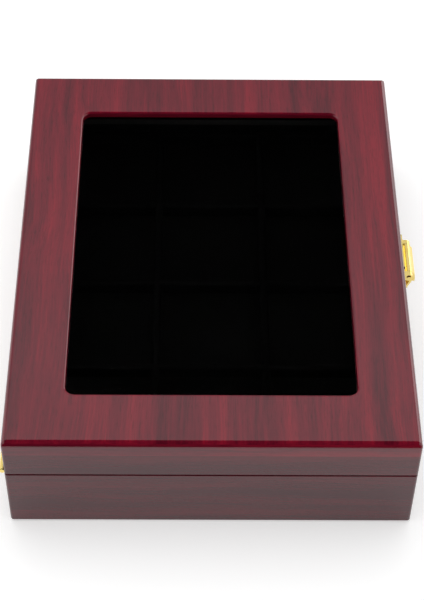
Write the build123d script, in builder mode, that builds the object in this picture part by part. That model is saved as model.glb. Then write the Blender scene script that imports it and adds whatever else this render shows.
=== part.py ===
"""Coin display case: a lacquered wooden box with a hinged, glass-topped lid over a velvet coin tray.

Millimetres. +X is the clasp side, -X the hinge side, +Y the far end, +Z up.
The origin is the centre of the underside, where the felt rests.
"""
from build123d import *
import os
from math import cos, radians, sin

os.makedirs("parts", exist_ok=True)

# ---------------------------------------------------------------- driving dimensions
# Case
case_width = 200.0
case_length = 260.0
case_height = 65.0
lid_height = 25.0
rim_gap = 0.4            # between the rims of lid and base
wall = 10.0
corner_radius = 1.5
top_round = 3.0          # round along the top of the lid
rim_round = 0.6          # eased edges on both sides of the split
foot_round = 1.2

# Lid panel and glass
panel_thickness = 9.0
window_width = 142.0
window_length = 199.0
window_corner = 5.0
window_round = 1.5
glass_depth = 3.2        # from the lid's top down to the glass
glass_thickness = 2.0
rebate_width = 6.0
glazing_fit = 0.3
lid_lining_thickness = 1.5
lid_lining_set_back = 1.0

# Base interior
felt_thickness = 0.6
felt_inset = 4.0
bottom_thickness = 5.0
lining_thickness = 2.0
lining_rise = 3.0        # the lining stands above the rim and locates the lid
lining_clearance = 0.4
riser_width = 12.0
riser_height = 18.0
riser_spacing = 140.0

# Coin tray
tray_floor_thickness = 3.0
tray_clearance = 0.5
rail_thickness = 4.0
rail_height = 8.0
cell_columns = 3
cell_rows = 4
halving_fit = 0.15       # play in the halved joints of the rails

# Continuous hinge
hinge_offset = 1.1       # from the wall's face out to the pin's centre
hinge_pin_radius = 0.75
knuckle_radius = 1.5
knuckle_pitch = 10.2
hinge_end_margin = 2.4   # least distance from the hinge's ends to the case's corners
knuckle_gap = 0.2
hinge_clearance = 0.15
running_fit = 0.05
leaf_thickness = 0.8
leaf_gap = 0.1
leaf_width = 8.0
pin_head_radius = 1.2
pin_head_length = 0.6

# Hinge screws
screw_head_radius = 1.6
screw_head_depth = 0.7
screw_radius = 0.8
screw_length = 8.0
screw_count = 5
screw_end_margin = 9.0   # from the hinge's ends to the outer screws
screw_inset = 4.8        # from the wall's face
screw_fit = 0.05

# Clasp
clasp_width = 25.0
clasp_plate_thickness = 1.0
clasp_plate_rise = 6.0   # heights above the split: plate, its top, barrel, bow and shoulder
clasp_top_rise = 20.0
barrel_rise = 12.5
hasp_bow_rise = 7.5      # where the hasp stands out furthest
hasp_shoulder_rise = 7.0
clasp_plate_corner = 1.5
barrel_radius = 2.3
barrel_clearance = 0.4   # between the barrel and the plate behind it
end_knuckle_length = 2.7
end_knuckle_gap = 0.15
clasp_pin_radius = 0.8
hasp_thickness = 1.2
hasp_bow_radius = 26.0
hasp_reach = 7.4         # how far it stands out there
hasp_bow_top = 10.0      # degrees above the bow's middle
hasp_bow_bottom = 25.0   # degrees below it
hasp_lip_drop = 2.8
hasp_lip_flare = 0.8
hasp_tip_width = 8.4
hasp_neck_width = 11.4   # the tongue just below the shoulder
hasp_shoulder_drop = 1.2
hasp_wrap = 60.0         # degrees round the barrel to where the strap leaves it
hasp_tip_round = 3.0
keeper_width = 20.0
keeper_top_drop = 1.6    # depths below the split: keeper's top, its nose, its foot
keeper_nose_drop = 4.2
keeper_foot_drop = 12.0
keeper_nose_reach = 3.5
keeper_nose_width = 8.0
keeper_nose_radius = 1.4

# Brass nails that hold the clasp
nail_radius = 0.6
nail_length = 6.0
nail_head_radius = 1.3
nail_crown_radius = 0.8  # flat crown in the middle of the head
nail_head_height = 0.5
nail_fit = 0.05
nail_inset = 2.8         # from the edges of its plate

# ---------------------------------------------------------------- derived places
half_width = case_width / 2
half_length = case_length / 2
split_height = case_height - lid_height
base_rim = split_height - rim_gap / 2
lid_rim = split_height + rim_gap / 2
panel_bottom = case_height - panel_thickness
lid_wall = wall - lining_clearance
glass_top = case_height - glass_depth
glass_bottom = glass_top - glass_thickness
rebate_size = (window_width + 2 * rebate_width, window_length + 2 * rebate_width)
bottom_top = felt_thickness + bottom_thickness
lining_top = split_height + lining_rise
inner_width = case_width - 2 * wall
inner_length = case_length - 2 * wall
tray_width = inner_width - 2 * lining_thickness - 2 * tray_clearance
tray_length = inner_length - 2 * lining_thickness - 2 * tray_clearance
tray_bottom = bottom_top + riser_height
rail_bottom = tray_bottom + tray_floor_thickness
column_pitch = (tray_width - rail_thickness) / cell_columns
row_pitch = (tray_length - rail_thickness) / cell_rows
hinge_x = -half_width - hinge_offset
base_knuckles = int(((case_length - 2 * hinge_end_margin) / knuckle_pitch + 1) / 2)
hinge_length = knuckle_pitch * (2 * base_knuckles - 1)   # the lid leaf has one knuckle fewer
groove_radius = knuckle_radius + hinge_clearance
leaf_end = -half_width + leaf_width
base_leaf_top = split_height - leaf_gap / 2
lid_leaf_bottom = split_height + leaf_gap / 2
screw_x = -half_width + screw_inset
screw_spacing = (hinge_length - 2 * screw_end_margin) / (screw_count - 1)
clasp_plate_bottom = split_height + clasp_plate_rise
clasp_plate_top = split_height + clasp_top_rise
barrel_height = split_height + barrel_rise
hasp_bow_height = split_height + hasp_bow_rise
hasp_shoulder_height = split_height + hasp_shoulder_rise
keeper_top = split_height - keeper_top_drop
keeper_nose_height = split_height - keeper_nose_drop
keeper_bottom = split_height - keeper_foot_drop
barrel_x = half_width + clasp_plate_thickness + barrel_clearance + barrel_radius
hasp_width = clasp_width - 2 * end_knuckle_length - 2 * end_knuckle_gap
bow_center_x = half_width + hasp_reach - hasp_bow_radius

pieces = {}


# ---------------------------------------------------------------- shapes used more than once
def wall_ring(bottom, top, thickness, bottom_edge_round, top_edge_round):
    """Four walls as one ring with eased outer edges and the hinge let in at -X.

    Each wall is cut out of it at its mitres.
    """
    with BuildPart() as ring:
        with BuildSketch(Plane.XY.offset(bottom)):
            RectangleRounded(case_width, case_length, corner_radius)
        extrude(amount=top - bottom)
        if bottom_edge_round:
            fillet(ring.faces().sort_by(Axis.Z)[0].outer_wire().edges(), bottom_edge_round)
        if top_edge_round:
            fillet(ring.faces().sort_by(Axis.Z)[-1].outer_wire().edges(), top_edge_round)
        with BuildSketch(Plane.XY.offset(bottom)):
            Rectangle(case_width - 2 * thickness, case_length - 2 * thickness)
        extrude(amount=top - bottom, mode=Mode.SUBTRACT)
        with Locations((hinge_x, 0, split_height)):
            Cylinder(groove_radius, hinge_length, rotation=(90, 0, 0), mode=Mode.SUBTRACT)
            Box(2 * (leaf_end - hinge_x), hinge_length, 2 * leaf_thickness + leaf_gap, mode=Mode.SUBTRACT)
    return ring.part


def mitred_plan(side):
    """Plan of one wall between its two 45 degree mitres, a little deeper than the wall."""
    deep = 1.5 * wall
    far_wall = [
        (-half_width, half_length),
        (half_width, half_length),
        (half_width - deep, half_length - deep),
        (-half_width + deep, half_length - deep),
    ]
    clasp_wall = [
        (half_width, half_length),
        (half_width, -half_length),
        (half_width - deep, -half_length + deep),
        (half_width - deep, half_length - deep),
    ]
    if side == "near":
        return [(x, -y) for x, y in far_wall]
    if side == "hinge":
        return [(-x, y) for x, y in clasp_wall]
    return far_wall if side == "far" else clasp_wall


def screw_shape(clearance):
    """Countersunk wood screw with its head flush at z = 0; with a clearance, the hole for it."""
    with BuildPart() as screw:
        with BuildSketch(Plane.XZ):
            with BuildLine():
                Polyline(
                    (0, 0),
                    (screw_head_radius + clearance, 0),
                    (screw_radius + clearance, -screw_head_depth),
                    (screw_radius + clearance, -screw_length + screw_radius - clearance),
                    (0, -screw_length - clearance),
                    close=True,
                )
            make_face()
        revolve(axis=Axis.Z)
    return screw.part


def nail_shape(clearance):
    """Brass nail along X: the head's underside is at x = 0 and the shank points to -x."""
    with BuildPart() as nail:
        with BuildSketch(Plane.XY):
            with BuildLine():
                Polyline(
                    (nail_head_height, 0),
                    (nail_head_height, nail_crown_radius),
                    (0, nail_head_radius),
                    (0, nail_radius + clearance),
                    (-nail_length + nail_radius, nail_radius + clearance),
                    (-nail_length - clearance, 0),
                    close=True,
                )
            make_face()
        revolve(axis=Axis.X)
    return nail.part


def hinge_leaf(plate_bottom, knuckles):
    """A leaf of the continuous hinge: its plate, and its knuckles about the pin."""
    own_length = knuckle_pitch - knuckle_gap
    plate_start = hinge_x + groove_radius
    with BuildPart() as leaf:
        with Locations((plate_start, 0, plate_bottom)):
            Box(leaf_end - plate_start, hinge_length, leaf_thickness,
                align=(Align.MIN, Align.CENTER, Align.MIN))
        with Locations(*[(hinge_x, y, plate_bottom) for y in knuckle_places(knuckles)]):
            Box(groove_radius + leaf_thickness, own_length, leaf_thickness,
                align=(Align.MIN, Align.CENTER, Align.MIN))
        with Locations(*[(hinge_x, y, split_height) for y in knuckle_places(knuckles)]):
            Cylinder(knuckle_radius, own_length, rotation=(90, 0, 0))
        with Locations((hinge_x, 0, split_height)):
            Cylinder(hinge_pin_radius + running_fit, hinge_length, rotation=(90, 0, 0), mode=Mode.SUBTRACT)
    return leaf.part


def knuckle_places(count):
    return [(index - (count - 1) / 2) * 2 * knuckle_pitch for index in range(count)]


def screw_places(height):
    first = -(screw_count - 1) / 2 * screw_spacing
    return [(screw_x, first + index * screw_spacing, height) for index in range(screw_count)]


def slotted_rail(length, slot_places, slots_open_up):
    """Outline of a tray rail, seen from its side, with the slots of its halved joints."""
    slot_width = rail_thickness + 2 * halving_fit
    slot_side = rail_height if slots_open_up else 0
    with BuildSketch() as outline:
        Rectangle(length, rail_height, align=(Align.CENTER, Align.MIN))
        with Locations(*[(place, slot_side) for place in slot_places]):
            Rectangle(slot_width, rail_height, mode=Mode.SUBTRACT)
    return outline.sketch


# ---------------------------------------------------------------- base: walls, bottom, felt
# Nails at the outer corners of the two clasp plates
nail_x = half_width + clasp_plate_thickness
base_nail_y = keeper_width / 2 - nail_inset
lid_nail_y = clasp_width / 2 - nail_inset
base_nail_places = [(nail_x, side * base_nail_y, keeper_bottom + nail_inset) for side in (-1, 1)]
lid_nail_places = [(nail_x, side * lid_nail_y, clasp_plate_top - nail_inset) for side in (-1, 1)]
base_ring = wall_ring(felt_thickness, base_rim, wall, foot_round, rim_round)
lid_ring = wall_ring(lid_rim, panel_bottom, lid_wall, rim_round, 0)

for side in ("near", "far", "hinge", "clasp"):
    with BuildPart() as base_wall:
        add(base_ring)
        with BuildSketch():
            Polygon(*mitred_plan(side), align=None)
        extrude(amount=case_height, mode=Mode.INTERSECT)
        if side == "hinge":
            with Locations(*screw_places(base_leaf_top)):
                add(screw_shape(screw_fit), mode=Mode.SUBTRACT)
        if side == "clasp":
            with Locations(*base_nail_places):
                add(nail_shape(nail_fit), mode=Mode.SUBTRACT)
    pieces[f"base_wall_{side}"] = base_wall

    with BuildPart() as lid_wall_piece:
        add(lid_ring)
        with BuildSketch():
            Polygon(*mitred_plan(side), align=None)
        extrude(amount=case_height, mode=Mode.INTERSECT)
        if side == "hinge":
            with Locations(*screw_places(lid_leaf_bottom)):
                add(screw_shape(screw_fit), rotation=(180, 0, 0), mode=Mode.SUBTRACT)
    pieces[f"lid_wall_{side}"] = lid_wall_piece

with BuildPart() as base_bottom:
    with BuildSketch(Plane.XY.offset(felt_thickness)):
        Rectangle(inner_width, inner_length)
    extrude(amount=bottom_thickness)
pieces["base_bottom"] = base_bottom

with BuildPart() as base_felt:
    with BuildSketch():
        RectangleRounded(case_width - 2 * felt_inset, case_length - 2 * felt_inset, corner_radius)
    extrude(amount=felt_thickness)
pieces["base_felt"] = base_felt

# ---------------------------------------------------------------- base: velvet lining boards
for side, sign in (("near", -1), ("far", 1)):
    with BuildPart() as end_lining:
        with Locations((0, sign * (inner_length - lining_thickness) / 2, bottom_top)):
            Box(inner_width, lining_thickness, lining_top - bottom_top,
                align=(Align.CENTER, Align.CENTER, Align.MIN))
    pieces[f"base_lining_{side}"] = end_lining

for side, sign in (("hinge", -1), ("clasp", 1)):
    with BuildPart() as side_lining:
        with Locations((sign * (inner_width - lining_thickness) / 2, 0, bottom_top)):
            Box(lining_thickness, inner_length - 2 * lining_thickness, lining_top - bottom_top,
                align=(Align.CENTER, Align.CENTER, Align.MIN))
    pieces[f"base_lining_{side}"] = side_lining

# ---------------------------------------------------------------- coin tray on its risers
with BuildPart() as tray_risers:
    with Locations((-riser_spacing / 2, 0, bottom_top), (riser_spacing / 2, 0, bottom_top)):
        Box(riser_width, tray_length, riser_height, align=(Align.CENTER, Align.CENTER, Align.MIN))
pieces["tray_risers"] = tray_risers

with BuildPart() as tray_floor:
    with BuildSketch(Plane.XY.offset(tray_bottom)):
        Rectangle(tray_width, tray_length)
    extrude(amount=tray_floor_thickness)
pieces["tray_floor"] = tray_floor

column_places = [(index - cell_columns / 2) * column_pitch for index in range(cell_columns + 1)]
row_places = [(index - cell_rows / 2) * row_pitch for index in range(cell_rows + 1)]

with BuildPart() as tray_cross_rails:
    for y in row_places:
        with BuildSketch(Plane((0, y, rail_bottom), x_dir=(1, 0, 0), z_dir=(0, -1, 0))):
            add(slotted_rail(tray_width, column_places, True))
        extrude(amount=rail_thickness / 2, both=True)
pieces["tray_cross_rails"] = tray_cross_rails

with BuildPart() as tray_long_rails:
    for x in column_places:
        with BuildSketch(Plane((x, 0, rail_bottom), x_dir=(0, 1, 0), z_dir=(1, 0, 0))):
            add(slotted_rail(tray_length, row_places, False))
        extrude(amount=rail_thickness / 2, both=True)
pieces["tray_long_rails"] = tray_long_rails

# ---------------------------------------------------------------- lid: panel, glass, beads, lining
with BuildPart() as lid_top_panel:
    with BuildSketch(Plane.XY.offset(panel_bottom)):
        Rectangle(case_width, case_length)
    extrude(amount=panel_thickness)
    fillet(lid_top_panel.edges().group_by(Axis.Z)[-1], top_round)
    fillet(lid_top_panel.edges().filter_by(Axis.Z), corner_radius)
    with BuildSketch(Plane.XY.offset(panel_bottom)):
        RectangleRounded(window_width, window_length, window_corner)
    extrude(amount=panel_thickness, mode=Mode.SUBTRACT)
    window_edges = lid_top_panel.faces().sort_by(Axis.Z)[-1].inner_wires()[0].edges()
    fillet(window_edges, window_round)
    with BuildSketch(Plane.XY.offset(panel_bottom)):
        Rectangle(*rebate_size)
    extrude(amount=glass_top - panel_bottom, mode=Mode.SUBTRACT)
    with Locations(*lid_nail_places):
        add(nail_shape(nail_fit), mode=Mode.SUBTRACT)
pieces["lid_top_panel"] = lid_top_panel

with BuildPart() as window_glass:
    with BuildSketch(Plane.XY.offset(glass_bottom)):
        Rectangle(rebate_size[0] - 2 * glazing_fit, rebate_size[1] - 2 * glazing_fit)
    extrude(amount=glass_thickness)
pieces["window_glass"] = window_glass

bead_width = rebate_width - glazing_fit
bead_height = glass_bottom - panel_bottom
for side, sign in (("near", -1), ("far", 1)):
    with BuildPart() as end_bead:
        with Locations((0, sign * (rebate_size[1] - bead_width) / 2, panel_bottom)):
            Box(rebate_size[0], bead_width, bead_height, align=(Align.CENTER, Align.CENTER, Align.MIN))
    pieces[f"glass_bead_{side}"] = end_bead

for side, sign in (("hinge", -1), ("clasp", 1)):
    with BuildPart() as side_bead:
        with Locations((sign * (rebate_size[0] - bead_width) / 2, 0, panel_bottom)):
            Box(bead_width, rebate_size[1] - 2 * bead_width, bead_height,
                align=(Align.CENTER, Align.CENTER, Align.MIN))
    pieces[f"glass_bead_{side}"] = side_bead

with BuildPart() as lid_lining:
    with BuildSketch(Plane.XY.offset(panel_bottom - lid_lining_thickness)):
        Rectangle(case_width - 2 * wall, case_length - 2 * wall)
        Rectangle(window_width + 2 * lid_lining_set_back, window_length + 2 * lid_lining_set_back,
                  mode=Mode.SUBTRACT)
    extrude(amount=lid_lining_thickness)
pieces["lid_lining"] = lid_lining

# ---------------------------------------------------------------- continuous hinge
with BuildPart() as hinge_leaf_base:
    add(hinge_leaf(base_leaf_top - leaf_thickness, base_knuckles))
    with Locations(*screw_places(base_leaf_top)):
        add(screw_shape(screw_fit), mode=Mode.SUBTRACT)
pieces["hinge_leaf_base"] = hinge_leaf_base

with BuildPart() as hinge_leaf_lid:
    add(hinge_leaf(lid_leaf_bottom, base_knuckles - 1))
    with Locations(*screw_places(lid_leaf_bottom)):
        add(screw_shape(screw_fit), rotation=(180, 0, 0), mode=Mode.SUBTRACT)
pieces["hinge_leaf_lid"] = hinge_leaf_lid

with BuildPart() as hinge_pin:
    with Locations((hinge_x, 0, split_height)):
        Cylinder(hinge_pin_radius, hinge_length, rotation=(90, 0, 0))
    head_y = (hinge_length - knuckle_gap + pin_head_length) / 2
    with Locations((hinge_x, -head_y, split_height), (hinge_x, head_y, split_height)):
        Cylinder(pin_head_radius, pin_head_length, rotation=(90, 0, 0))
pieces["hinge_pin"] = hinge_pin

with BuildPart() as hinge_screws_base:
    with Locations(*screw_places(base_leaf_top)):
        add(screw_shape(0))
pieces["hinge_screws_base"] = hinge_screws_base

with BuildPart() as hinge_screws_lid:
    with Locations(*screw_places(lid_leaf_bottom)):
        add(screw_shape(0), rotation=(180, 0, 0))
pieces["hinge_screws_lid"] = hinge_screws_lid

# ---------------------------------------------------------------- clasp: plate on the lid
end_knuckle_y = (clasp_width - end_knuckle_length) / 2
end_knuckles = [(barrel_x, -end_knuckle_y, barrel_height), (barrel_x, end_knuckle_y, barrel_height)]
with BuildPart() as clasp_lid_plate:
    with BuildSketch(Plane.YZ.offset(half_width)):
        with Locations((0, (clasp_plate_bottom + clasp_plate_top) / 2)):
            RectangleRounded(clasp_width, clasp_plate_top - clasp_plate_bottom, clasp_plate_corner)
    extrude(amount=clasp_plate_thickness)
    with Locations(*end_knuckles):
        Cylinder(barrel_radius, end_knuckle_length, rotation=(90, 0, 0))
        Box(barrel_x - half_width, end_knuckle_length, barrel_radius,
            align=(Align.MAX, Align.CENTER, Align.MIN))
    with Locations((barrel_x, 0, barrel_height)):
        Cylinder(clasp_pin_radius + running_fit, clasp_width, rotation=(90, 0, 0), mode=Mode.SUBTRACT)
    with Locations(*lid_nail_places):
        add(nail_shape(nail_fit), mode=Mode.SUBTRACT)
pieces["clasp_lid_plate"] = clasp_lid_plate

with BuildPart() as clasp_lid_nails:
    with Locations(*lid_nail_places):
        add(nail_shape(0))
pieces["clasp_lid_nails"] = clasp_lid_nails

# ---------------------------------------------------------------- clasp: hasp and its pin
bow_bottom_x = bow_center_x + hasp_bow_radius * cos(radians(hasp_bow_bottom))
bow_bottom_z = hasp_bow_height - hasp_bow_radius * sin(radians(hasp_bow_bottom))
lip_bottom = bow_bottom_z - hasp_lip_drop
hasp_bow_inner = hasp_bow_radius - hasp_thickness
wrap_point = (barrel_x + barrel_radius * cos(radians(hasp_wrap)),
              barrel_height + barrel_radius * sin(radians(hasp_wrap)))
with BuildPart() as hasp:
    with BuildSketch(Plane.XZ):
        with BuildLine():
            bow_start = -hasp_bow_bottom
            bow_size = hasp_bow_bottom + hasp_bow_top
            outer = CenterArc((bow_center_x, hasp_bow_height), hasp_bow_radius, bow_start, bow_size)
            inner = CenterArc((bow_center_x, hasp_bow_height), hasp_bow_inner, bow_start, bow_size)
            Polyline(outer @ 1, wrap_point, (barrel_x, barrel_height), inner @ 1)
            Polyline(
                outer @ 0,
                (bow_bottom_x + hasp_lip_flare, lip_bottom),
                (bow_bottom_x + hasp_lip_flare - hasp_thickness, lip_bottom),
                inner @ 0,
            )
        make_face()
    extrude(amount=hasp_width / 2, both=True)
    with BuildSketch(Plane.YZ.offset(half_width)) as hasp_front:
        with BuildLine():
            Polyline(
                (-hasp_width / 2, case_height),
                (-hasp_width / 2, hasp_shoulder_height),
                (-hasp_neck_width / 2, hasp_shoulder_height - hasp_shoulder_drop),
                (-hasp_tip_width / 2, lip_bottom),
                (hasp_tip_width / 2, lip_bottom),
                (hasp_neck_width / 2, hasp_shoulder_height - hasp_shoulder_drop),
                (hasp_width / 2, hasp_shoulder_height),
                (hasp_width / 2, case_height),
                close=True,
            )
        make_face()
        fillet(hasp_front.vertices().group_by(Axis.Y)[0], hasp_tip_round)
    extrude(amount=hasp_bow_radius, mode=Mode.INTERSECT)
    with Locations((barrel_x, 0, barrel_height)):
        Cylinder(barrel_radius, hasp_width, rotation=(90, 0, 0))
        Cylinder(clasp_pin_radius + running_fit, hasp_width, rotation=(90, 0, 0), mode=Mode.SUBTRACT)
pieces["hasp"] = hasp

with BuildPart() as clasp_pin:
    with Locations((barrel_x, 0, barrel_height)):
        Cylinder(clasp_pin_radius, clasp_width, rotation=(90, 0, 0))
    clasp_head_y = (clasp_width + pin_head_length) / 2
    with Locations((barrel_x, -clasp_head_y, barrel_height), (barrel_x, clasp_head_y, barrel_height)):
        Cylinder(pin_head_radius, pin_head_length, rotation=(90, 0, 0))
pieces["clasp_pin"] = clasp_pin

# ---------------------------------------------------------------- clasp: keeper on the base
with BuildPart() as clasp_keeper:
    with BuildSketch(Plane.YZ.offset(half_width)):
        with Locations((0, (keeper_bottom + keeper_top) / 2)):
            RectangleRounded(keeper_width, keeper_top - keeper_bottom, clasp_plate_corner)
    extrude(amount=clasp_plate_thickness)
    with Locations((half_width + keeper_nose_reach - keeper_nose_radius, 0, keeper_nose_height)):
        Cylinder(keeper_nose_radius, keeper_nose_width, rotation=(90, 0, 0))
        Box(keeper_nose_reach - keeper_nose_radius, keeper_nose_width, 2 * keeper_nose_radius,
            align=(Align.MAX, Align.CENTER, Align.CENTER))
    with Locations(*base_nail_places):
        add(nail_shape(nail_fit), mode=Mode.SUBTRACT)
pieces["clasp_keeper"] = clasp_keeper

with BuildPart() as clasp_keeper_nails:
    with Locations(*base_nail_places):
        add(nail_shape(0))
pieces["clasp_keeper_nails"] = clasp_keeper_nails

# ---------------------------------------------------------------- labels and files
for name, piece in pieces.items():
    piece.part.label = name
    export_step(piece.part, f"parts/{name}.step")
    print(name, len(piece.part.solids()), "solids")
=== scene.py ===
# %% [markdown]
# # A coin display case in Blender
# The case is a lacquered wooden box, 200 mm wide, 260 mm long and 65 mm high. Its lid is glazed, a long
# brass hinge joins it to the base on the left, and a brass hasp closes it on the right. The wood, glass
# and metal come from the CAD frame and only need finishes, and so do the lid's lining and the felt. The
# velvet pieces of the base are modelled again here, because fabric that is wrapped over a board has soft
# edges, which the plain CAD boards don't have.

# %% Load the frame
from math import cos, radians, sin

import bmesh
import bpy
from mathutils import Matrix, Vector


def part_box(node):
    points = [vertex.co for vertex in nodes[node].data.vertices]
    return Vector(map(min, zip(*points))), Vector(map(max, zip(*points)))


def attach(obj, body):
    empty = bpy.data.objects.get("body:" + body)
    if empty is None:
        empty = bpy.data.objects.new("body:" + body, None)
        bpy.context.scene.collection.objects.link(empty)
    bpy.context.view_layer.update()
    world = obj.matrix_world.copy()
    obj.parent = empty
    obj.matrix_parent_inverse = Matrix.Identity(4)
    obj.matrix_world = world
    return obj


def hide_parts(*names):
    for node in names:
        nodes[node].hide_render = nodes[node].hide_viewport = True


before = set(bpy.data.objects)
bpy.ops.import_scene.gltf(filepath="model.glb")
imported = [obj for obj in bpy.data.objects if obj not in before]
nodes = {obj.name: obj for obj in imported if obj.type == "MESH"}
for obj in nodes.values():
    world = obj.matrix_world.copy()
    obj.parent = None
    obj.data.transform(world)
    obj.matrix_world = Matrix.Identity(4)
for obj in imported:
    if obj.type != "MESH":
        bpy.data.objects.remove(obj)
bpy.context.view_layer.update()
scene = bpy.context.scene
MM = 0.001
print("CAD nodes:", len(nodes))

# %% [markdown]
# Colours are written as sRGB hex values, as a paint chart gives them. Blender's shaders work in linear
# light, so one function turns a hex value into linear numbers.


# %% Colour
def linear(hex_colour):
    """sRGB hex to linear RGBA."""
    channels = [int(hex_colour[i:i + 2], 16) / 255 for i in (1, 3, 5)]
    return tuple(c / 12.92 if c <= 0.04045 else ((c + 0.055) / 1.055) ** 2.4 for c in channels) + (1.0,)


print("linear mid grey:", [round(c, 3) for c in linear("#808080")])

# %% [markdown]
# A material is a small network of nodes. Two helpers keep the networks short: one starts a material with
# its Principled shader, the other adds a node with its settings, its values and its links in one call.


# %% Node helpers
def new_material(name):
    """An empty material with a Principled shader; returns the material, its nodes and that shader."""
    material = bpy.data.materials.new(name)
    material.use_nodes = True
    tree = material.node_tree
    return material, tree, tree.nodes["Principled BSDF"]


def add_node(tree, kind, settings=None, values=None, links=None):
    """Adds a node; links names a socket of the new node and the output that feeds it."""
    node = tree.nodes.new(kind)
    for key, value in (settings or {}).items():
        setattr(node, key, value)
    for key, value in (values or {}).items():
        node.inputs[key].default_value = value
    for key, output in (links or {}).items():
        tree.links.new(output, node.inputs[key])
    return node


def set_ramp(ramp, stops):
    """Gives a colour ramp its stops: (position, hex colour)."""
    elements = ramp.color_ramp.elements
    while len(elements) < len(stops):
        elements.new(0.5)
    for element, (position, colour) in zip(elements, stops):
        element.position = position
        element.color = linear(colour)


# %% [markdown]
# ## Rosewood veneer under piano lacquer
# The real finish is a stained red veneer with dark stripes along the grain, sprayed with many coats of
# clear polyester and polished flat. The eye sees two things: deep, saturated red stripes below, and a hard
# mirror on top that lays a grey veil over them wherever it faces something bright. A texture image could
# hold the grain, but noise stretched along the grain follows every face at true size. Three layers make
# it: broad bands about 9 mm wide, bent a little so that they wander as growth rings do, fibres about 1 mm
# wide, and pores. The grain runs along the lid's length on the top and along each side wall. A face that
# looks to the near or far end has its grain across the case, so the pattern's X and Y are swapped there,
# by the face's own direction.

# %% Lacquered veneer
STRIPE_WIDTH = 9 * MM
STRIPE_LENGTH = 260 * MM
FIBRE_WIDTH = 1.0 * MM
FIBRE_LENGTH = 45 * MM
PORE_WIDTH = 0.4 * MM    # real pores are 0.1 mm; wider here so that they show
PORE_LENGTH = 7 * MM
SWAY = 9 * MM            # how far a stripe wanders sideways
SWAY_WIDTH = 60 * MM     # the wandering's own size across and along the grain
SWAY_LENGTH = 90 * MM
FIBRE_SHARE = 0.5        # how strongly the fibres show beside the stripes
STRIPE_STOPS = (0.28, 0.5, 0.72)    # where the dark, middle and light colours sit in the noise
PORE_EDGE = (0.3, 0.45)  # noise values between which a pore fades out
PORE_DARK = 0.72         # a pore's brightness beside the wood round it
LACQUER_IOR = 1.56
PEEL_WIDTH = 4 * MM      # crest to crest of the lacquer's orange peel
PEEL_HEIGHT = 0.05 * MM
GRAIN_START = (3.1, 0.4, 0.0)   # which part of the endless pattern falls on the case
END_FACE = 0.72          # a face whose normal has this much Y counts as an end face


def grain_scale(width, length):
    """Mapping scale that stretches a pattern along Y."""
    return (1 / width, 1 / length, 1 / width)


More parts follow.
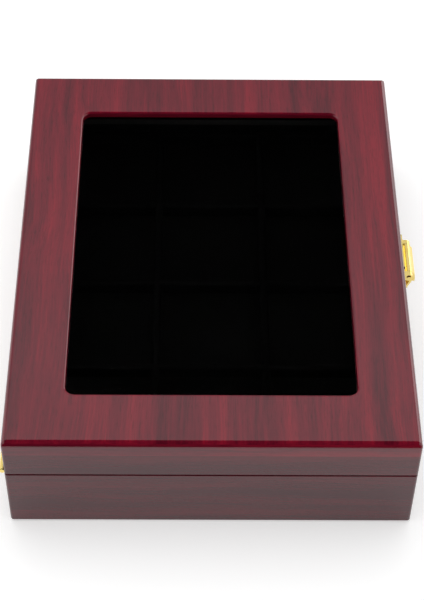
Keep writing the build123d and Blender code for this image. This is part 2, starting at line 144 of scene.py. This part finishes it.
def lacquered_veneer(name, dark, mid, light):
    """Striped veneer under clear gloss lacquer; the grain runs along Y, and along X on the end faces."""
    material, tree, shader = new_material(name)
    coordinates = add_node(tree, "ShaderNodeTexCoord")
    along_y = coordinates.outputs["Object"]
    parts = add_node(tree, "ShaderNodeSeparateXYZ", links={"Vector": along_y})
    along_x = add_node(tree, "ShaderNodeCombineXYZ",
                       links={"X": parts.outputs["Y"], "Y": parts.outputs["X"], "Z": parts.outputs["Z"]})
    facing = add_node(tree, "ShaderNodeSeparateXYZ", links={"Vector": coordinates.outputs["Normal"]})
    endwise = add_node(tree, "ShaderNodeMath", {"operation": "ABSOLUTE"}, links={0: facing.outputs["Y"]})
    is_end = add_node(tree, "ShaderNodeMath", {"operation": "GREATER_THAN"}, {1: END_FACE},
                      {0: endwise.outputs[0]})
    chosen = add_node(tree, "ShaderNodeMix", {"data_type": "VECTOR"},
                      links={"Factor": is_end.outputs[0], "A": along_y, "B": along_x.outputs["Vector"]})
    place = chosen.outputs["Result"]
    sway_at = add_node(tree, "ShaderNodeMapping", values={"Scale": grain_scale(SWAY_WIDTH, SWAY_LENGTH)},
                       links={"Vector": place})
    sway = add_node(tree, "ShaderNodeTexNoise", values={"Scale": 1.0, "Detail": 1.0},
                    links={"Vector": sway_at.outputs["Vector"]})
    centred = add_node(tree, "ShaderNodeVectorMath", {"operation": "SUBTRACT"},
                       links={0: sway.outputs["Color"]})
    centred.inputs[1].default_value = (0.5, 0.5, 0.5)
    bend = add_node(tree, "ShaderNodeVectorMath", {"operation": "SCALE"}, {"Scale": SWAY},
                    {0: centred.outputs["Vector"]})
    bent = add_node(tree, "ShaderNodeVectorMath", {"operation": "ADD"},
                    links={0: place, 1: bend.outputs["Vector"]})
    layers = []
    for width, length, detail in ((STRIPE_WIDTH, STRIPE_LENGTH, 2.0), (FIBRE_WIDTH, FIBRE_LENGTH, 2.0),
                                  (PORE_WIDTH, PORE_LENGTH, 1.0)):
        at = add_node(tree, "ShaderNodeMapping",
                      values={"Location": GRAIN_START, "Scale": grain_scale(width, length)},
                      links={"Vector": bent.outputs["Vector"]})
        noise = add_node(tree, "ShaderNodeTexNoise",
                         values={"Scale": 1.0, "Detail": detail, "Roughness": 0.5},
                         links={"Vector": at.outputs["Vector"]})
        layers.append(noise.outputs["Fac"])
    stripes, fibres, pores = layers
    fibre_share = add_node(tree, "ShaderNodeMath", {"operation": "MULTIPLY_ADD"},
                           {1: FIBRE_SHARE, 2: -FIBRE_SHARE / 2}, {0: fibres})
    figure = add_node(tree, "ShaderNodeMath", {"operation": "ADD"},
                      links={0: stripes, 1: fibre_share.outputs[0]})
    colours = add_node(tree, "ShaderNodeValToRGB", links={"Fac": figure.outputs[0]})
    set_ramp(colours, list(zip(STRIPE_STOPS, (dark, mid, light))))
    pore_mask = add_node(tree, "ShaderNodeMapRange",
                         values={"From Min": PORE_EDGE[0], "From Max": PORE_EDGE[1],
                                 "To Min": PORE_DARK, "To Max": 1.0},
                         links={"Value": pores})
    shaded = add_node(tree, "ShaderNodeVectorMath", {"operation": "SCALE"},
                      links={0: colours.outputs["Color"], "Scale": pore_mask.outputs["Result"]})
    tree.links.new(shaded.outputs["Vector"], shader.inputs["Base Color"])
    shader.inputs["Roughness"].default_value = 0.45
    shader.inputs["Specular IOR Level"].default_value = 0.0
    shader.inputs["Coat Weight"].default_value = 1.0
    shader.inputs["Coat Roughness"].default_value = 0.04
    shader.inputs["Coat IOR"].default_value = LACQUER_IOR
    # A very shallow orange peel in the lacquer
    peel = add_node(tree, "ShaderNodeTexNoise", values={"Scale": 1 / PEEL_WIDTH, "Detail": 1.0},
                    links={"Vector": along_y})
    bump = add_node(tree, "ShaderNodeBump", values={"Strength": 0.04, "Distance": PEEL_HEIGHT},
                    links={"Height": peel.outputs["Fac"]})
    tree.links.new(bump.outputs["Normal"], shader.inputs["Coat Normal"])
    return material


# The walls' veneer is the darker of the two, and its stripes differ less
lid_veneer = lacquered_veneer("rosewood_veneer_lacquered_lid", "#520a1b", "#6c0e22", "#841226")
wall_veneer = lacquered_veneer("rosewood_veneer_lacquered_walls", "#430a17", "#500d1b", "#60111f")
print("veneers:", lid_veneer.name, wall_veneer.name)

# %% [markdown]
# ## Polished brass
# The hasp and hinge are stamped from yellow brass, tumbled bright and clear-dipped. A metal's look is
# nearly all reflection, so the colour goes in the base colour, the metallic value is 1 and the IOR stays
# at its default. A faint cloudiness in the roughness keeps it from looking like a mirror.

# %% Brass
BRASS_CLOUD = 6 * MM
CLOUD_TINT = "#eccb6a"


def polished_brass(name, colour, smooth, cloudy):
    """Brass whose roughness drifts from smooth to cloudy, and its colour with it towards one tint."""
    material, tree, shader = new_material(name)
    place = add_node(tree, "ShaderNodeTexCoord").outputs["Object"]
    clouds = add_node(tree, "ShaderNodeTexNoise", values={"Scale": 1 / BRASS_CLOUD, "Detail": 3.0},
                      links={"Vector": place})
    rough = add_node(tree, "ShaderNodeMapRange", values={"To Min": smooth, "To Max": cloudy},
                     links={"Value": clouds.outputs["Fac"]})
    tree.links.new(rough.outputs["Result"], shader.inputs["Roughness"])
    tint = add_node(tree, "ShaderNodeMix", {"data_type": "RGBA"}, links={"Factor": clouds.outputs["Fac"]})
    tint.inputs["A"].default_value = linear(colour)
    tint.inputs["B"].default_value = linear(CLOUD_TINT)
    tree.links.new(tint.outputs["Result"], shader.inputs["Base Color"])
    shader.inputs["Metallic"].default_value = 1.0
    return material


brass = polished_brass("brass_stamped_polished", "#f8e59a", 0.12, 0.24)
screw_brass = polished_brass("brass_screw_turned", "#d8b45c", 0.25, 0.4)
print("brass:", brass.name, screw_brass.name)

# %% [markdown]
# ## Velvet and felt
# Velvet is a pile of short upright fibres. Seen straight on it swallows light, and at a glancing angle the
# fibre tips catch a soft sheen. So its base is nearly black and rough, with a small sheen. The pile's
# direction changes in patches where it was brushed, which a large soft noise gives. Felt is pressed wool:
# duller, with visible fibre.

# %% Fabric finishes
def pile_fabric(name, shade, brushed, patch, fibre, sheen):
    """Velvet or felt: patch is the size of brushed areas, fibre the size of the surface grain, in metres."""
    material, tree, shader = new_material(name)
    place = add_node(tree, "ShaderNodeTexCoord").outputs["Object"]
    patches = add_node(tree, "ShaderNodeTexNoise", values={"Scale": 1 / patch, "Detail": 2.0},
                       links={"Vector": place})
    fibres = add_node(tree, "ShaderNodeTexNoise", values={"Scale": 1 / fibre, "Detail": 2.0},
                      links={"Vector": place})
    both = add_node(tree, "ShaderNodeMath", {"operation": "MULTIPLY"},
                    links={0: patches.outputs["Fac"], 1: fibres.outputs["Fac"]})
    colours = add_node(tree, "ShaderNodeValToRGB", links={"Fac": both.outputs[0]})
    set_ramp(colours, [(0.12, shade), (0.42, brushed)])
    tree.links.new(colours.outputs["Color"], shader.inputs["Base Color"])
    shader.inputs["Roughness"].default_value = 0.95
    shader.inputs["Specular IOR Level"].default_value = 0.0
    shader.inputs["Sheen Weight"].default_value = sheen
    shader.inputs["Sheen Roughness"].default_value = 0.35
    bump = add_node(tree, "ShaderNodeBump", values={"Strength": 0.5, "Distance": 0.2 * MM},
                    links={"Height": fibres.outputs["Fac"]})
    tree.links.new(bump.outputs["Normal"], shader.inputs["Normal"])
    return material


velvet = pile_fabric("cotton_velvet_black", "#010101", "#040404", 22 * MM, 0.6 * MM, 0.004)
felt = pile_fabric("wool_felt_pressed_black", "#0c0c0d", "#242426", 15 * MM, 1.2 * MM, 0.02)
print("fabrics:", velvet.name, felt.name)

# %% [markdown]
# ## Plywood, bead and glass
# The bottom board and the tray's risers are bare birch plywood, seen only when the tray is lifted out. The
# beads that hold the glass are stained black. The window stands for coated low-reflection glass, so the
# black velvet shows through it as plain black. Real glass has an IOR of about 1.5, and with its coating it
# still reflects something. The 1.02 used here reflects far less than that and barely bends light: it is a
# stand-in for the look.

# %% Plywood, bead and glass
PLY_GRAIN_WIDTH = 4 * MM
PLY_GRAIN_LENGTH = 80 * MM
BEAD_GRAIN = 3 * MM
DUST_PATCH = 12 * MM
STAND_IN_IOR = 1.02      # not real glass: see above


def birch_plywood(name):
    """Bare plywood with a pale grain along Y."""
    material, tree, shader = new_material(name)
    place = add_node(tree, "ShaderNodeTexCoord").outputs["Object"]
    at = add_node(tree, "ShaderNodeMapping", values={"Scale": grain_scale(PLY_GRAIN_WIDTH, PLY_GRAIN_LENGTH)},
                  links={"Vector": place})
    grain = add_node(tree, "ShaderNodeTexNoise", values={"Scale": 1.0, "Detail": 3.0},
                     links={"Vector": at.outputs["Vector"]})
    colours = add_node(tree, "ShaderNodeValToRGB", links={"Fac": grain.outputs["Fac"]})
    set_ramp(colours, [(0.3, "#b98f62"), (0.7, "#d6b388")])
    tree.links.new(colours.outputs["Color"], shader.inputs["Base Color"])
    shader.inputs["Roughness"].default_value = 0.7
    return material


def museum_glass(name):
    """Clear pane with almost no reflection and faintly uneven smoothness."""
    material, tree, shader = new_material(name)
    place = add_node(tree, "ShaderNodeTexCoord").outputs["Object"]
    dust = add_node(tree, "ShaderNodeTexNoise", values={"Scale": 1 / DUST_PATCH, "Detail": 4.0},
                    links={"Vector": place})
    wiped = add_node(tree, "ShaderNodeMapRange", values={"To Min": 0.0, "To Max": 0.02},
                     links={"Value": dust.outputs["Fac"]})
    tree.links.new(wiped.outputs["Result"], shader.inputs["Roughness"])
    shader.inputs["Base Color"].default_value = linear("#ffffff")
    shader.inputs["Transmission Weight"].default_value = 1.0
    shader.inputs["IOR"].default_value = STAND_IN_IOR
    return material


def stained_bead(name):
    """Hardwood bead stained black and waxed, with its grain just visible."""
    material, tree, shader = new_material(name)
    place = add_node(tree, "ShaderNodeTexCoord").outputs["Object"]
    grain = add_node(tree, "ShaderNodeTexNoise", values={"Scale": 1 / BEAD_GRAIN, "Detail": 3.0},
                     links={"Vector": place})
    colours = add_node(tree, "ShaderNodeValToRGB", links={"Fac": grain.outputs["Fac"]})
    set_ramp(colours, [(0.3, "#040404"), (0.7, "#100d0d")])
    tree.links.new(colours.outputs["Color"], shader.inputs["Base Color"])
    shader.inputs["Roughness"].default_value = 0.55
    shader.inputs["Specular IOR Level"].default_value = 0.2
    return material


plywood = birch_plywood("birch_plywood_bare")
bead_stain = stained_bead("beech_bead_stained_black")
glass = museum_glass("museum_glass_coated")
print("board, bead and glass:", plywood.name, bead_stain.name, glass.name)

# %% [markdown]
# ## Finish the CAD nodes
# A node's name says what it is, so a short table of name beginnings picks its finish. The first match
# counts.

# %% Assign finishes
FINISHES = [
    ("lid_top_panel", lid_veneer), ("glass_bead", bead_stain), ("base_wall", wall_veneer),
    ("lid_wall", wall_veneer), ("base_bottom", plywood), ("tray_risers", plywood), ("base_felt", felt),
    ("base_lining", velvet), ("lid_lining", velvet), ("tray", velvet), ("window_glass", glass),
    ("hinge_screws", screw_brass), ("hinge", brass), ("clasp", brass), ("hasp", brass),
]


def give_finish(piece, material):
    """Puts one material in every slot of a CAD node."""
    if not piece.data.materials:
        piece.data.materials.append(material)
    for holder in piece.material_slots:
        holder.material = material


for name, node in nodes.items():
    give_finish(node, next(material for start, material in FINISHES if name.startswith(start)))
print("finished", len(nodes), "nodes")

# %% [markdown]
# ## Velvet-covered boards
# Each lining board and tray rail is a strip of board with velvet wrapped round it and glued at the back.
# The cloth takes the sharp corners off, so the edges are round, about the thickness of the pile. Each
# board starts as a bmesh cube, is scaled to the CAD board's own box, and is then bevelled all round. All
# of them ride on the base.


# %% Wrapped boards
PILE_ROUND = 0.7 * MM
RAIL_ROUND = 1.4 * MM


def velvet_piece(name, mesh, replaced):
    """Puts a bmesh into the scene as a velvet piece that rides on the base and stands for a CAD node."""
    data = bpy.data.meshes.new(name)
    mesh.to_mesh(data)
    mesh.free()
    piece = bpy.data.objects.new(name, data)
    scene.collection.objects.link(piece)
    data.materials.append(velvet)
    data.polygons.foreach_set("use_smooth", [True] * len(data.polygons))
    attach(piece, "base")
    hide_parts(replaced)
    return piece


def add_board(mesh, low, high, rounding, segments=3):
    """One board with rounded edges, from its lowest to its highest corner."""
    made = bmesh.ops.create_cube(mesh, size=1.0)
    size = [b - a for a, b in zip(low, high)]
    middle = [(a + b) / 2 for a, b in zip(low, high)]
    bmesh.ops.scale(mesh, vec=size, verts=made["verts"])
    bmesh.ops.translate(mesh, vec=middle, verts=made["verts"])
    edges = list({edge for vert in made["verts"] for edge in vert.link_edges})
    bmesh.ops.bevel(mesh, geom=edges, offset=min(rounding, 0.45 * min(size)), segments=segments,
                    affect="EDGES", profile=0.5, material=-1)


for name in [name for name in nodes if name.startswith("base_lining")]:
    board = bmesh.new()
    add_board(board, *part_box(name), PILE_ROUND)
    wrapped = velvet_piece(name + "_velvet", board, name)
    print(wrapped.name, len(wrapped.data.polygons), "faces")

# %% [markdown]
# ## The coin tray
# The tray is a velvet-covered floor with rails crossing it, halved into each other like the dividers of an
# egg box. Twelve cells lie between them. Each rail is made whole here, so two that cross run through each
# other, and their soft edges meet in a small dip, as wrapped rails do.

# %% Tray rails and floor
COLUMNS, ROWS = 3, 4
RAIL = 4 * MM
floor_low, floor_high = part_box("tray_floor")
tray_floor = bmesh.new()
add_board(tray_floor, floor_low, floor_high, PILE_ROUND)
velvet_piece("tray_floor_velvet", tray_floor, "tray_floor")

for node_name, axis, count in (("tray_cross_rails", 1, ROWS), ("tray_long_rails", 0, COLUMNS)):
    low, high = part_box(node_name)
    pitch = (high[axis] - low[axis] - RAIL) / count
    rails = bmesh.new()
    for index in range(count + 1):
        rail_low, rail_high = list(low), list(high)
        rail_low[axis] = low[axis] + index * pitch
        rail_high[axis] = rail_low[axis] + RAIL
        add_board(rails, rail_low, rail_high, RAIL_ROUND, segments=4)
    made = velvet_piece(node_name + "_velvet", rails, node_name)
    print(made.name, count + 1, "rails,", len(made.data.polygons), "faces")

# %% [markdown]
# ## Floor, background and light
# A glossy case is lit by large white surfaces, with the room behind the camera left dark. The lacquer then
# mirrors white on the lid and black along its front round. So the world is white where the camera, a
# reflection or the glass sees it. Light that falls on the case comes at a lower strength, and the lamps
# below add the rest.

# %% World
SKY_LIGHT = 0.62
SKY_SEEN = 1.0

world = bpy.data.worlds.new("white_studio")
scene.world = world
world.use_nodes = True
sky = world.node_tree
sky.nodes.clear()
path = add_node(sky, "ShaderNodeLightPath")
seen = add_node(sky, "ShaderNodeMath", {"operation": "MAXIMUM"},
                links={0: path.outputs["Is Camera Ray"], 1: path.outputs["Is Glossy Ray"]})
seen_all = add_node(sky, "ShaderNodeMath", {"operation": "MAXIMUM"},
                    links={0: seen.outputs[0], 1: path.outputs["Is Transmission Ray"]})
strength = add_node(sky, "ShaderNodeMapRange", values={"To Min": SKY_LIGHT, "To Max": SKY_SEEN},
                    links={"Value": seen_all.outputs[0]})
background = add_node(sky, "ShaderNodeBackground", values={"Color": (1.0, 1.0, 1.0, 1.0)},
                      links={"Strength": strength.outputs["Result"]})
add_node(sky, "ShaderNodeOutputWorld", links={"Surface": background.outputs["Background"]})
print("world:", world.name)

# %% [markdown]
# The floor is a pale board. It glows a little where the camera or a reflection sees it, which brings it
# near white, and it still takes the case's shadow.


# %% Floor
def stage_plane(name, width, depth, matrix, material):
    """A flat stage piece, in metres, which isn't part of the case."""
    mesh = bmesh.new()
    bmesh.ops.create_grid(mesh, x_segments=1, y_segments=1, size=0.5)
    bmesh.ops.scale(mesh, vec=(width, depth, 1.0), verts=mesh.verts)
    mesh.transform(matrix)
    data = bpy.data.meshes.new(name)
    mesh.to_mesh(data)
    mesh.free()
    plane = bpy.data.objects.new(name, data)
    scene.collection.objects.link(plane)
    data.materials.append(material)
    return plane


FLOOR_GLOW = 0.38
FLOOR_SIZE = 8.0
floor_material, floor_tree, floor_shader = new_material("floor_white_board")
floor_shader.inputs["Base Color"].default_value = (0.86, 0.86, 0.86, 1.0)
floor_shader.inputs["Roughness"].default_value = 0.9
floor_shader.inputs["Specular IOR Level"].default_value = 0.0
floor_path = add_node(floor_tree, "ShaderNodeLightPath")
floor_seen = add_node(floor_tree, "ShaderNodeMath", {"operation": "MAXIMUM"},
                      links={0: floor_path.outputs["Is Camera Ray"], 1: floor_path.outputs["Is Glossy Ray"]})
floor_glow = add_node(floor_tree, "ShaderNodeMath", {"operation": "MULTIPLY"}, {1: FLOOR_GLOW},
                      {0: floor_seen.outputs[0]})
floor_shader.inputs["Emission Color"].default_value = (1.0, 1.0, 1.0, 1.0)
floor_tree.links.new(floor_glow.outputs[0], floor_shader.inputs["Emission Strength"])
stage_plane("studio_floor", FLOOR_SIZE, FLOOR_SIZE, Matrix.Identity(4), floor_material)
print("stage: floor", FLOOR_SIZE, "m")

# %% [markdown]
# ## Camera
# The camera stands over the near end, a little left of the middle, and looks about 50 degrees down. Its
# place, pitch, yaw and roll are set by numbers, and its rotation is built from the three directions they
# give.

# %% Camera
CAMERA_PLACE = Vector((-8.8, -588.3, 694.3)) * MM
PITCH, YAW, ROLL = radians(49.93), radians(0.73), radians(0.80)
SENSOR, LENS = 36.0, 98.9    # in mm
SHIFT_X, SHIFT_Y = 0.0078, 0.0493
forward = Vector((sin(YAW) * cos(PITCH), cos(YAW) * cos(PITCH), -sin(PITCH)))
level = forward.cross(Vector((0, 0, 1))).normalized()
upright = level.cross(forward)
right = level * cos(ROLL) + upright * sin(ROLL)
up = upright * cos(ROLL) - level * sin(ROLL)
turn = Matrix((right, up, -forward)).transposed().to_4x4()
camera = bpy.data.objects.new("camera", bpy.data.cameras.new("camera"))
scene.collection.objects.link(camera)
camera.matrix_world = Matrix.Translation(CAMERA_PLACE) @ turn
camera.data.sensor_width = SENSOR
camera.data.lens = LENS
camera.data.shift_x = SHIFT_X
camera.data.shift_y = SHIFT_Y
camera.data.clip_start = 0.01
scene.camera = camera
print("camera", [round(c, 3) for c in camera.location])

# %% [markdown]
# ## Cards in the reflections
# Gloss is shaped by what it mirrors. Each card here shows only in reflections: the camera, diffuse light,
# shadows and the glass pass it by. Black cards stand behind the camera, hang overhead and lie on the floor
# in front, and keep the near round of the lid a deep red. A grey one behind the case thins the veil on the
# lid's top, most of all low down, and a bright one at the right puts a highlight on the right edge. From
# other sides, where the lacquer faces a card's rim, that rim shows as a hard line.


# %% Cards
CARD_FRONT, CARD_BACK = -1.6, 2.0     # how far the upright cards stand from the case, along Y
GREY_LOW, GREY_HIGH = 1.5, 2.6        # heights between which the grey card brightens to white
GREY_GLOW = 0.5
BRIGHT_GLOW = 2.4


def card_material(name, glow=0.0, colour=(1.0, 1.0, 1.0, 1.0)):
    """Black flock, or a lit panel if it glows; returns the material, its nodes and its shader."""
    material, tree, shader = new_material(name)
    shader.inputs["Base Color"].default_value = (0.0, 0.0, 0.0, 1.0)
    shader.inputs["Specular IOR Level"].default_value = 0.0
    shader.inputs["Emission Color"].default_value = colour
    shader.inputs["Emission Strength"].default_value = glow
    return material, tree, shader


def mirror_only_card(name, width, depth, matrix, material):
    """A card that shows only in reflections; width and depth are in metres."""
    card = stage_plane(name, width, depth, matrix, material)
    card.visible_camera = False
    card.visible_diffuse = False
    card.visible_shadow = False
    card.visible_transmission = False


black = card_material("card_black_flock")[0]
standing = Matrix.Rotation(radians(90), 4, "X")
mirror_only_card("card_behind_camera", 5.0, 2.0,
                 Matrix.Translation((0.0, CARD_FRONT, 1.0)) @ standing, black)
mirror_only_card("card_overhead", 3.0, 2.3, Matrix.Translation((0.0, -0.5, 2.0)), black)
mirror_only_card("card_table_edge", 4.0, 1.2, Matrix.Translation((0.0, -0.92, 0.002)), black)

grey, grey_tree, grey_shader = card_material("card_grey_dim")
grey_place = add_node(grey_tree, "ShaderNodeTexCoord").outputs["Object"]
grey_height = add_node(grey_tree, "ShaderNodeSeparateXYZ", links={"Vector": grey_place})
grey_glow = add_node(grey_tree, "ShaderNodeMapRange",
                     values={"From Min": GREY_LOW, "From Max": GREY_HIGH, "To Min": GREY_GLOW, "To Max": 1.0},
                     links={"Value": grey_height.outputs["Z"]})
grey_tree.links.new(grey_glow.outputs["Result"], grey_shader.inputs["Emission Strength"])
mirror_only_card("card_back_dim", 5.0, 2.6, Matrix.Translation((0.0, CARD_BACK, 1.3)) @ standing, grey)

bright = card_material("card_bright_side", BRIGHT_GLOW, (1.0, 0.97, 0.97, 1.0))[0]
side_turn = Matrix.Rotation(radians(-50), 4, "Z")
mirror_only_card("card_right_bright", 1.8, 1.1,
                 Matrix.Translation((1.6, 1.3, 0.65)) @ side_turn @ standing, bright)

# %% [markdown]
# ## Lamps
# Two large, weak softboxes give the case its plain light and its soft shadow on the floor. They don't show
# in the lacquer, because the cards and the world do that work.


# %% Softboxes
def softbox(name, place, aim, size, power):
    """A square lamp that lights the case but doesn't show in its lacquer; size in metres, power in watts."""
    lamp = bpy.data.objects.new(name, bpy.data.lights.new(name, "AREA"))
    lamp.data.shape = "SQUARE"
    lamp.data.size = size
    lamp.data.energy = power
    lamp.location = place
    lamp.rotation_euler = (Vector(aim) - Vector(place)).to_track_quat("-Z", "Y").to_euler()
    lamp.visible_glossy = False
    scene.collection.objects.link(lamp)


softbox("softbox_overhead", (0.0, 0.5, 1.6), (0.0, 0.0, 0.0), 1.4, 9.0)
softbox("softbox_left", (-1.4, -0.5, 1.0), (0.0, 0.0, 0.03), 1.0, 3.0)
scene.view_settings.view_transform = "Standard"
